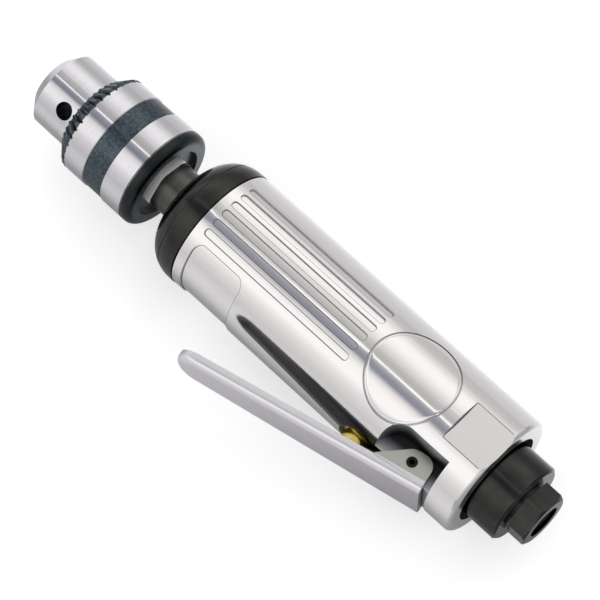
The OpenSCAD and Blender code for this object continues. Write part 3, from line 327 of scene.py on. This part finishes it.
def chuck_steel():
    made, tree, out = new_finish("Ground and blackened chuck steel")
    place, behind, radius = axis_places(tree)
    depth = add(tree, "MapRange", {"Value": behind, "From Min": 0.0, "From Max": chuck_span * MM})
    zones = [(0, WHITE), (teeth_at, BLACK), (front_band_at, WHITE), (dark_band_at, BLACK),
             (rear_band_at, WHITE), (flange_at, BLACK)]
    stops = [(at / chuck_span, tone) for at, tone in zones]
    bright = add(tree, "ValToRGB", {"Fac": depth}, stops, "CONSTANT")
    inner = add(tree, "MapRange", {"Value": behind, "From Min": 0.0, "From Max": chamfer_len * MM,
                                   "To Min": mouth_r * MM, "To Max": skin_r * MM})
    outside = add(tree, "Math", {0: radius, 1: inner}, operation="GREATER_THAN")
    ground = add(tree, "Math", {0: bright, 1: outside}, operation="MULTIPLY")
    rings = add(tree, "Mapping", {"Vector": place, "Scale": cells(grind_w, grind_len)})
    grind = add(tree, "TexNoise", {"Vector": rings, "Scale": 1.0, "Detail": 3.0})
    stain = add(tree, "TexNoise", {"Vector": place, "Scale": 1 / (stain_w * MM), "Detail": 2.0})
    blot = add(tree, "MapRange", {"Value": stain, "From Min": 0.32, "From Max": 0.68})
    steel = add(tree, "MixRGB", {"Fac": grind, "Color1": linear("#CFCED1"), "Color2": linear("#E4E3E5")})
    oxide = add(tree, "MixRGB", {"Fac": blot, "Color1": linear("#3E474C"), "Color2": linear("#58646A")})
    # A thin black line in the corner before the dark band is painted shade.
    corner = add(tree, "Math", {0: behind, **span(corner_from, corner_to)}, operation="COMPARE")
    band = add(tree, "MixRGB", {"Fac": corner, "Color1": oxide, "Color2": linear("#191C1D")})
    rim = add(tree, "MapRange", {"Value": radius, "From Min": dish_r * MM, "From Max": rim_r * MM})
    dish = add(tree, "MixRGB", {"Fac": rim, "Color1": linear("#6C7276"), "Color2": linear("#303435")})
    flange = add(tree, "Math", {0: behind, 1: flange_at * MM}, operation="GREATER_THAN")
    dark = add(tree, "MixRGB", {"Fac": flange, "Color1": band, "Color2": dish})
    colour = add(tree, "MixRGB", {"Fac": ground, "Color1": dark, "Color2": steel})
    bright_rough = add(tree, "MapRange", {"Value": grind, "To Min": 0.07, "To Max": 0.14})
    black_rough = add(tree, "MapRange", {"Value": stain, "To Min": 0.22, "To Max": 0.36})
    rough = add(tree, "Mix", {"Factor": ground, "A": black_rough, "B": bright_rough})
    bump = add(tree, "Bump", {"Height": grind, "Strength": 0.2, "Distance": grind_depth * MM})
    shade = add(tree, "BsdfPrincipled", {"Base Color": colour, "Metallic": 1.0, "Roughness": rough,
                                         "Normal": bump})
    tree.links.new(shade, out)
    return made


chuck = chuck_steel()
print("made", chuck.name, "for a sleeve from", round(sleeve_front, 2), "to", round(sleeve_rear, 2), "mm")

# %% [markdown]
# Black oxide steel
#
# The clamp nut, the rear collar and the inlet hexagon are steel turned on a lathe and then blackened
# and oiled. The oiled oxide is a dark satin coat with a faint green cast, and it rubs thin on the
# edges. A Bevel node rounds the normal near an edge, so where that differs from the true normal
# there is an edge, and the finish there is mixed towards bare grey steel. The lathe's feed lines are
# drawn 0.3 mm apart, coarser than real ones, so that they show.

# %% Make the black oxide finish
cloud_w, feed_w, feed_len, feed_depth, worn_w = 4, 0.3, 12, 0.02, 0.35


def black_oxide():
    made, tree, out = new_finish("Black oxide steel")
    place = add(tree, "TexCoord", take="Object")
    cloud = add(tree, "TexNoise", {"Vector": place, "Scale": 1 / (cloud_w * MM), "Detail": 5.0})
    rings = add(tree, "Mapping", {"Vector": place, "Scale": cells(feed_w, feed_len)})
    feed = add(tree, "TexNoise", {"Vector": rings, "Scale": 1.0, "Detail": 2.0})
    facing = add(tree, "NewGeometry", take="Normal")
    eased = add(tree, "Bevel", {"Radius": worn_w * MM}, samples=6)
    agree = add(tree, "VectorMath", {0: facing, 1: eased}, take="Value", operation="DOT_PRODUCT")
    edge = add(tree, "MapRange", {"Value": agree, "From Min": 0.99, "From Max": 0.88,
                                  "To Min": 0.0, "To Max": 0.55})
    worn = add(tree, "Math", {0: edge, 1: cloud}, operation="MULTIPLY")
    oxide = add(tree, "MixRGB", {"Fac": cloud, "Color1": linear("#2E302E"), "Color2": linear("#454744")})
    colour = add(tree, "MixRGB", {"Fac": worn, "Color1": oxide, "Color2": linear("#9A9C99")})
    rough = add(tree, "MapRange", {"Value": cloud, "To Min": 0.12, "To Max": 0.24})
    bump = add(tree, "Bump", {"Height": feed, "Strength": 0.2, "Distance": feed_depth * MM})
    shade = add(tree, "BsdfPrincipled", {"Base Color": colour, "Metallic": 1.0, "Roughness": rough,
                                         "Normal": bump})
    tree.links.new(shade, out)
    return made


oxide_steel = black_oxide()
print("made", oxide_steel.name)

# %% [markdown]
# Satin nickel on pressed steel
#
# The throttle lever is a steel pressing with a thin nickel plate over a brushed surface. It looks
# softer than the barrel: a metal with medium roughness and brush lines that run along its length,
# drawn wider than real ones to show. The turned edge gets a painted highlight, a paler grey, and the
# inside of the channel gets painted shade, a dark grey, while the two ears keep the greenish grey of
# the bare pressing. The normal tells the inside and the edge apart, and the height over the pivot,
# measured square to the lever's own tilt, tells the ears.

# %% Make the lever's finish
lever_rise = np.radians(12.7)
lever_up = (-float(np.sin(lever_rise)), float(np.cos(lever_rise)), 0)
pivot_height = float(np.mean(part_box("lever_pin"), axis=0) @ lever_up)
ear_top, ear_below = pivot_height + 3.4 * MM, pivot_height + 3.1 * MM
brush_len, brush_w, brush_depth, handled_w = 14, 0.3, 0.02, 12


def satin_nickel():
    made, tree, out = new_finish("Satin nickel on pressed steel")
    place = add(tree, "TexCoord", take="Object")
    along = add(tree, "Mapping", {"Vector": place, "Scale": cells(brush_len, brush_w)})
    brush = add(tree, "TexNoise", {"Vector": along, "Scale": 1.0, "Detail": 3.0})
    handled = add(tree, "TexNoise", {"Vector": place, "Scale": 1 / (handled_w * MM), "Detail": 3.0})
    normal = add(tree, "NewGeometry", take="True Normal")
    _, facing_up, facing_side = add(tree, "SeparateXYZ", {"Vector": normal}, take=None).outputs
    inside = add(tree, "MapRange", {"Value": facing_up, "From Min": -0.1, "From Max": -0.35})
    sideways = add(tree, "Math", {0: facing_side}, operation="ABSOLUTE")
    edge = add(tree, "MapRange", {"Value": sideways, "From Min": 0.15, "From Max": 0.6})
    height = add(tree, "VectorMath", {0: place, 1: lever_up}, take="Value", operation="DOT_PRODUCT")
    ear = add(tree, "MapRange", {"Value": height, "From Min": ear_top, "From Max": ear_below})
    plate = add(tree, "MixRGB", {"Fac": handled, "Color1": linear("#D4D1D6"), "Color2": linear("#E0DDE1")})
    # The turned edge gets a painted highlight, a paler grey.
    painted_edge_highlight = add(tree, "MixRGB", {"Fac": edge, "Color1": plate, "Color2": linear("#E6E5E8")})
    bare = add(tree, "MixRGB", {"Fac": ear, "Color1": painted_edge_highlight, "Color2": linear("#B9BBB2")})
    # The inside of the channel gets painted shade, a dark grey.
    colour = add(tree, "MixRGB", {"Fac": inside, "Color1": bare, "Color2": linear("#6E7073")})
    rough = add(tree, "MapRange", {"Value": brush, "To Min": 0.22, "To Max": 0.38})
    bump = add(tree, "Bump", {"Height": brush, "Strength": 0.15, "Distance": brush_depth * MM})
    shade = add(tree, "BsdfPrincipled", {"Base Color": colour, "Metallic": 1.0, "Roughness": rough,
                                         "Normal": bump})
    tree.links.new(shade, out)
    return made


nickel = satin_nickel()
print("made", nickel.name, "with ears below", round(ear_top / MM, 2), "mm")

# %% [markdown]
# The spindle's neck and its hexagon
#
# The spindle is hardened steel that is dark from its heat treatment. The hexagon for the spanner was
# milled afterwards, and spanners have scuffed it, so it is pale, rougher and less of a mirror, and its
# near-white colour is also a painted highlight on its flats. As on the chuck, the distance behind the
# nose switches between the two.

# %% Make the spindle's finish
hexagon_from, hexagon_to = 48.5, 52.28
lathe_w, lathe_len, lathe_depth = 0.25, 5, 0.02


def spindle_finish():
    made, tree, out = new_finish("Heat treated spindle steel")
    place, behind, _ = axis_places(tree)
    milled = add(tree, "Math", {0: behind, **span(hexagon_from, hexagon_to)}, operation="COMPARE")
    rings = add(tree, "Mapping", {"Vector": place, "Scale": cells(lathe_w, lathe_len)})
    lathe = add(tree, "TexNoise", {"Vector": rings, "Scale": 1.0, "Detail": 2.0})
    dark = add(tree, "MixRGB", {"Fac": lathe, "Color1": linear("#4A4B48"), "Color2": linear("#63645F")})
    # The near-white colour of the hexagon is bare milled steel and also a painted highlight on its flats.
    colour = add(tree, "MixRGB", {"Fac": milled, "Color1": dark, "Color2": linear("#F4F2EE")})
    satin = add(tree, "MapRange", {"Value": lathe, "To Min": 0.2, "To Max": 0.34})
    rough = add(tree, "Mix", {"Factor": milled, "A": satin, "B": 0.42})
    scuff = add(tree, "Mix", {"Factor": milled, "A": 1.0, "B": 0.45})
    bump = add(tree, "Bump", {"Height": lathe, "Strength": 0.25, "Distance": lathe_depth * MM})
    shade = add(tree, "BsdfPrincipled", {"Base Color": colour, "Metallic": scuff, "Roughness": rough,
                                         "Normal": bump})
    tree.links.new(shade, out)
    return made


spindle_steel = spindle_finish()
print("made", spindle_steel.name)

# %% [markdown]
# Steel, brass, rubber and plastic of the inner parts
#
# Most of the other pieces are inside and show only when the part is taken to bits, so their finishes
# share one recipe: a base colour with a little clouding, a roughness that follows the grain, and a
# fine bump at the scale of the tool marks or of the moulding. Each call names the real material.

# %% Make the simpler finishes
smudge_w = 6


def worked(name, tones, metallic, rough, grain, depth, stretch=(1, 1, 1)):
    """Colour between two tones follows a cloud; roughness and bump follow a grain, in millimetres."""
    made, tree, out = new_finish(name)
    place = add(tree, "TexCoord", take="Object")
    cloud = add(tree, "TexNoise", {"Vector": place, "Scale": 1 / (smudge_w * MM), "Detail": 4.0})
    lines = add(tree, "Mapping", {"Vector": place, "Scale": stretch})
    marks = add(tree, "TexNoise", {"Vector": lines, "Scale": 1 / (grain * MM), "Detail": 2.0})
    colour = add(tree, "MixRGB", {"Fac": cloud, "Color1": linear(tones[0]), "Color2": linear(tones[1])})
    gloss = add(tree, "MapRange", {"Value": marks, "To Min": rough[0], "To Max": rough[1]})
    bump = add(tree, "Bump", {"Height": marks, "Strength": 0.3, "Distance": depth * MM})
    shade = add(tree, "BsdfPrincipled", {"Base Color": colour, "Metallic": metallic, "Roughness": gloss,
                                         "Normal": bump})
    tree.links.new(shade, out)
    return made


tool_steel = worked("Ground tool steel", ("#8E9094", "#A6A8AC"), metallic=1.0, rough=(0.18, 0.32),
                    grain=0.25, depth=0.02, stretch=(1, 0.05, 0.05))
bearing_steel = worked("Polished bearing steel", ("#B9BBC0", "#CBCDD1"), metallic=1.0, rough=(0.05, 0.12),
                       grain=0.3, depth=0.01)
pin_steel = worked("Phosphated spring steel", ("#141413", "#22211F"), metallic=0.6, rough=(0.45, 0.6),
                   grain=0.3, depth=0.02)
brass = worked("Turned brass", ("#CDB34A", "#EBDC82"), metallic=1.0, rough=(0.14, 0.26),
               grain=0.25, depth=0.02, stretch=(0.05, 1, 0.05))
rubber = worked("Nitrile rubber", ("#161616", "#222222"), metallic=0.0, rough=(0.5, 0.65),
                grain=0.4, depth=0.02)
phenolic = worked("Phenolic laminate", ("#4A2F1C", "#6A4529"), metallic=0.0, rough=(0.45, 0.6),
                  grain=0.35, depth=0.03, stretch=(1, 1, 4))
acetal = worked("Moulded acetal", ("#D6D2C4", "#E4E0D3"), metallic=0.0, rough=(0.35, 0.48),
                grain=0.5, depth=0.01)
felt = worked("Oiled black felt", ("#0D0D0C", "#1A1917"), metallic=0.0, rough=(0.75, 0.9),
              grain=0.25, depth=0.08)
simpler = (tool_steel, bearing_steel, pin_steel, brass, rubber, phenolic, acetal, felt)
print("made", ", ".join(made.name for made in simpler))

# %% [markdown]
# Put each finish on its solids
#
# Every solid of the frame gets the finish of the real piece. A table by finish is easier to check
# than a long list by piece, and the loop says which solids were left over, which should be none.

# %% Assign the finishes
wears = {
    aluminium: ["housing"],
    chuck: ["chuck_body", "chuck_sleeve"],
    oxide_steel: ["clamp_nut", "rear_collar", "inlet_bushing", "chuck_screw"],
    nickel: ["throttle_lever"],
    spindle_steel: ["spindle"],
    tool_steel: ["chuck_nut", "jaw_1", "jaw_2", "jaw_3", "planet_pins", "planet_gear_1", "planet_gear_2",
                 "planet_gear_3", "ring_gear", "gear_plate", "front_end_plate", "rear_end_plate",
                 "cylinder_liner", "rotor", "motor_dowel", "valve_spring"],
    bearing_steel: [f"{place}_{piece}" for place in ("front_bearing", "rotor_front", "rotor_rear")
                    for piece in ("outer", "inner", "balls")],
    pin_steel: ["lever_pin"],
    brass: ["valve_stem", "valve_bushing", "carrier_bush", "inlet_screen"],
    rubber: ["spindle_seal", "stem_o_ring", "collar_o_ring", "valve_poppet"],
    phenolic: ["rotor_blades"],
    acetal: ["valve_seat"],
    felt: ["exhaust_muffler"],
}
for material, names in wears.items():
    for name in names:
        solids[name].data.materials.clear()
        solids[name].data.materials.append(material)
print("left without a finish:", sorted(set(solids) - {n for names in wears.values() for n in names}))

# %% [markdown]
# Surfaces from arrays
#
# The thin details are surfaces that numpy works out. One helper turns a grid of points into a mesh:
# the rows follow the first parameter, the columns the second and close on themselves, and the first
# and the last row are each closed by a fan of triangles to their middle.

# %% Helper for a grid surface
scene = bpy.context.scene


def surface(name, points, body, material):
    """Quads between neighbours of a rows x columns grid, closed round the columns, with end fans."""
    rows, cols = points.shape[:2]
    first = np.arange(rows * cols).reshape(rows, cols)
    second = np.roll(first, -1, axis=1)
    quads = np.stack([first[:-1], second[:-1], second[1:], first[1:]], axis=-1).reshape(-1, 4)
    fans = np.vstack([np.stack([second[0], first[0], np.full(cols, rows * cols)], axis=-1),
                      np.stack([first[-1], second[-1], np.full(cols, rows * cols + 1)], axis=-1)])
    tips = np.stack([points[0].mean(axis=0), points[-1].mean(axis=0)])
    mesh = bpy.data.meshes.new(name)
    mesh.from_pydata(np.vstack([points.reshape(-1, 3), tips]).tolist(), [], quads.tolist() + fans.tolist())
    mesh.polygons.foreach_set("use_smooth", np.ones(len(mesh.polygons), bool))
    mesh.materials.append(material)
    made = bpy.data.objects.new(name, mesh)
    scene.collection.objects.link(made)
    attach(made, body)
    print(name, len(mesh.polygons), "faces")
    return made


# %% [markdown]
# The bare round plate
#
# Such barrels carry a round plate on the flank inside the turned line. Here it is bare metal: a thin
# disc that follows the barrel, less than a tenth of a millimetre proud, with an eased rim that
# catches the light. In polar form the first parameter runs over the top from near the middle to the
# rim and back underneath, and the second runs round.

# %% Make the plate
plate_x, plate_r, plate_t = -barrel_rear + 35.8, 14.3, 0.12
plate_sunk, plate_under, hub_share, rim_share = 0.05, 0.2, 0.04, 0.975
rings, sides = 24, 96
share = np.linspace(hub_share, 1, rings)
ease = np.sqrt(1 - np.clip((share - rim_share) / (1 - rim_share), 0, 1) ** 2)
reach = np.concatenate([share, share[::-1]]) * plate_r
rise = np.concatenate([plate_t * ease - plate_sunk, np.full(rings, -plate_under)])
turn = np.linspace(0, 2 * np.pi, sides, endpoint=False)
across = reach[:, None] * np.sin(turn)
disc = np.stack([plate_x + reach[:, None] * np.cos(turn), across,
                 np.sqrt((barrel_r + rise[:, None]) ** 2 - across ** 2)], axis=-1)
surface("badge_plate", disc[:, ::-1] * MM, "housing", aluminium)

# %% [markdown]
# The pipe thread in the inlet
#
# The hose plug screws into the hexagon. A thread is a ridge carried along a helix: the first
# parameter is the turn, and the section across it is a blunt V that points to the axis. The ridge
# grows out of the wall over the first half turn and sinks back over the last.

# %% Make the thread
thread_pitch, thread_inset, bore_r, turns, steps = 1.337, 0.731, 5.75, 8.5, 40
thread_x = -ends("inlet_bushing")[1] + thread_inset
angle = np.linspace(0, 2 * np.pi * turns, int(turns * steps) + 1)
grow = np.clip(np.minimum(angle, angle[-1] - angle) / np.pi, 0, 1)
crest, crest_half, root, root_half = 0.62, 0.14, -0.05, 0.6
height = np.array([root, crest, crest, root])
spread = np.array([-root_half, -crest_half, crest_half, root_half])
radius = bore_r - np.where(height > 0, height * grow[:, None], height)
ridge = np.stack([thread_x + thread_pitch * angle[:, None] / (2 * np.pi) + spread,
                  radius * np.cos(angle)[:, None], radius * np.sin(angle)[:, None]], axis=-1)
surface("inlet_thread", ridge * MM, "housing", oxide_steel)

# %% [markdown]
# The throttle spring
#
# A coil spring under the poppet shuts the valve when the lever is let go. Here it is worked out as
# wire carried along a helix, and the frame's solid spring is hidden. Real springs have closed ends: the
# wire climbs by about its own thickness in the first and last turn and faster in between, so the climb
# per turn is added up along the helix. Opening the valve would take 3.5 mm off its length, but nothing
# here flattens it.

# %% Make the spring
wire_r, coil_r, coils, wire_sides, coil_steps = 0.45, 3.3, 7, 12, 36
spring_low, spring_len, stroke = -12.622, 11.4, 3.5
valve_x = -sum(ends("valve_spring")) / 2
closed_climb, opening, closed_turns, opening_turns = 0.92, 2.03, 0.8, 0.4
angle = np.linspace(0, 2 * np.pi * coils, coils * coil_steps + 1)
count = angle / (2 * np.pi)
from_end = np.minimum(count, coils - count)
rate = closed_climb + opening * np.clip(from_end - closed_turns, 0, opening_turns)
climb = np.concatenate([[0], np.cumsum((rate[1:] + rate[:-1]) / 2)])
climb *= (spring_len - 2 * wire_r) / climb[-1]
section = np.linspace(0, 2 * np.pi, wire_sides, endpoint=False)
arm = coil_r + wire_r * np.cos(section)
wire = np.stack([valve_x + arm * np.cos(angle)[:, None],
                 spring_low + wire_r + climb[:, None] + wire_r * np.sin(section),
                 arm * np.sin(angle)[:, None]], axis=-1)
spring = surface("throttle_spring", wire * MM, "housing", tool_steel)
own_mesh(spring)
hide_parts("valve_spring")

# %% [markdown]
# The camera
#
# The photograph looks down on the tool from its lever side with a long lens. The axes of the camera
# were worked out from the directions of the barrel, the lever and the chuck in the picture. They are
# written here as a matrix, which needs no aiming constraint. The scale is in pixels of the picture
# for each millimetre at the axis, and gives the lens.

# %% Set the camera
picture_px, px_per_mm = 600, 3.234
sensor_mm, distance = 36, 0.88
aim_x, nudge_right_px, nudge_up_px = -111.1, -3.8, 5.6
back = np.array([-0.284, 0.288, 0.914])
back /= np.linalg.norm(back)
right = np.cross([0, 0, 1], back)
right /= np.linalg.norm(right)
up = np.cross(back, right)
pixel = MM / px_per_mm
look = np.array([aim_x * MM, 0, 0]) + (right * nudge_right_px + up * nudge_up_px) * pixel
camera = bpy.data.objects.new("camera", bpy.data.cameras.new("camera"))
camera.data.sensor_width = sensor_mm
camera.data.lens = sensor_mm * distance / (picture_px * pixel)
axes = np.column_stack([right, up, back, look + distance * back])
camera.matrix_world = Matrix(np.vstack([axes, [0, 0, 0, 1]]).tolist())
scene.collection.objects.link(camera)
scene.camera = camera
print("lens", round(camera.data.lens, 1), "mm")

# %% [markdown]
# The light tent
#
# A mirror shows its surroundings, so the tent is the look of this tool: two long soft boxes on
# either side of the camera, a dim cool gap between them with one thin bright strip, and grey walls.
# Lamps could do it, but the world does it with one ramp round the barrel's axis, by the angle from
# straight up towards the lever's side. Behind the tool's rear end the tent is dimmer. The camera
# itself sees plain white.

# %% Choose the tones of the tent
far_box = [(-180, 0.55), (-100, 0.6), (-87, 0.6), (-73, 0.64), (-62, 0.88), (-52, 1.1), (-42, 1.15),
           (-32, 1.06), (-24, 0.9), (-17, 0.76)]
gap = [(-9, 0.58), (-1, 0.5), (1, 0.5), (1.8, 2.0), (3.2, 2.0), (4.2, 0.46), (13, 0.32), (18, 0.28)]
near_box = [(22, 0.6), (27, 0.95), (36, 1.12), (52, 1.15), (60, 1.0), (68, 0.87), (80, 0.76), (94, 0.66),
            (110, 0.6), (180, 0.55)]
warm, cool, dim = (0, -0.012, -0.014), (-0.02, -0.002, 0.066), 0.42


def tent_tone(level):
    """A grey of that level, a little warm, or cool where the tent is dim."""
    return (*(level + shift for shift in (cool if level < dim else warm)), 1)


tones = [((degrees + 180) / 360, tent_tone(level)) for degrees, level in far_box + gap + near_box]
print("tent of", len(tones), "tones")

# %% Make the tent
rear_from, rear_to, rear_dimmed = -0.25, -0.75, 0.6
scene.view_settings.view_transform = "Standard"
scene.world = bpy.data.worlds.new("light tent")
scene.world.use_nodes = True
tent = scene.world.node_tree
tent.nodes.clear()
heading = add(tent, "TexCoord", take="Generated")
ahead, aside, above = add(tent, "SeparateXYZ", {"Vector": heading}, take=None).outputs
angle = add(tent, "Math", {0: aside, 1: above}, operation="ARCTAN2")
place = add(tent, "MapRange", {"Value": angle, "From Min": -np.pi, "From Max": np.pi})
walls = add(tent, "ValToRGB", {"Fac": place}, tones, "EASE")
rear = add(tent, "MapRange", {"Value": ahead, "From Min": rear_from, "From Max": rear_to,
                              "To Min": 1.0, "To Max": rear_dimmed})
walls = add(tent, "MixRGB", {"Fac": 1.0, "Color1": walls, "Color2": rear}, blend_type="MULTIPLY")
seen = add(tent, "MixRGB", {"Fac": add(tent, "LightPath", take="Is Camera Ray"), "Color1": walls,
                            "Color2": WHITE})
sky = add(tent, "Background", {"Color": seen, "Strength": 1.0})
tent.links.new(sky, tent.nodes.new("ShaderNodeOutputWorld").inputs[0])
print("tent of", len(tent.nodes), "nodes")

# %% [markdown]
# The floor
#
# The tool lies on a wide sheet of matt white paper that takes its soft shadow. A mirror sees the
# paper too, and in a tent the paper is bright beside the tool and dim under it, so a glow that only
# glossy rays see runs across the floor, and fades behind the tool's rear end. The camera sees the
# paper lifted to the white of the background.

# %% Lay the floor
floor_gap, floor_half = 0.0002, 3.0
floor_z = cad_box[0][2] - floor_gap
corners = [(-floor_half, -floor_half), (floor_half, -floor_half), (floor_half, floor_half),
           (-floor_half, floor_half)]
mesh = bpy.data.meshes.new("floor")
mesh.from_pydata([(x, y, floor_z) for x, y in corners], [], [(0, 1, 2, 3)])
floor = bpy.data.objects.new("floor", mesh)
scene.collection.objects.link(floor)
print("floor at", round(floor_z / MM, 2), "mm")

# %% Make the paper
glow_from, glow_to, glow_blue = -250, 450, 1.04
glow = [(-209, 0.3), (-93, 0.36), (-59, 0.46), (-42, 0.58), (-32, 0.66), (-15, 0.4), (0, 0.05),
        (30, 0.1), (46, 0.3), (70, 0.4), (200, 0.34), (440, 0.3)]
fade_from, fade_to, faded = -205, -240, 0.1
lifted, paper_white, paper_mirrored = (0.5, 0.5, 0.5, 1), (0.85, 0.85, 0.85, 1), (0.5, 0.5, 0.5, 1)

paper, tree, out = new_finish("Matt white paper")
rays = add(tree, "LightPath", take=None).outputs
spot = add(tree, "TexCoord", take="Object")
x, y, _ = add(tree, "SeparateXYZ", {"Vector": spot}, take=None).outputs
width = add(tree, "MapRange", {"Value": y, "From Min": glow_from * MM, "From Max": glow_to * MM})
sweep = add(tree, "ValToRGB", {"Fac": width},
            [((at - glow_from) / (glow_to - glow_from), (g, g, g * glow_blue, 1)) for at, g in glow])
fade = add(tree, "MapRange", {"Value": x, "From Min": fade_from * MM, "From Max": fade_to * MM,
                              "To Min": 1.0, "To Max": faded})
sweep = add(tree, "MixRGB", {"Fac": 1.0, "Color1": sweep, "Color2": fade}, blend_type="MULTIPLY")
mirrored = add(tree, "MixRGB", {"Fac": rays["Is Glossy Ray"], "Color1": BLACK, "Color2": sweep})
shown = add(tree, "MixRGB", {"Fac": rays["Is Camera Ray"], "Color1": mirrored, "Color2": lifted})
card = add(tree, "MixRGB", {"Fac": rays["Is Glossy Ray"], "Color1": paper_white, "Color2": paper_mirrored})
matt = add(tree, "BsdfDiffuse", {"Color": card})
shine = add(tree, "Emission", {"Color": shown})
tree.links.new(add(tree, "AddShader", {0: matt, 1: shine}), out)
floor.data.materials.append(paper)
print("made", paper.name, "with a glow of", len(glow), "tones")
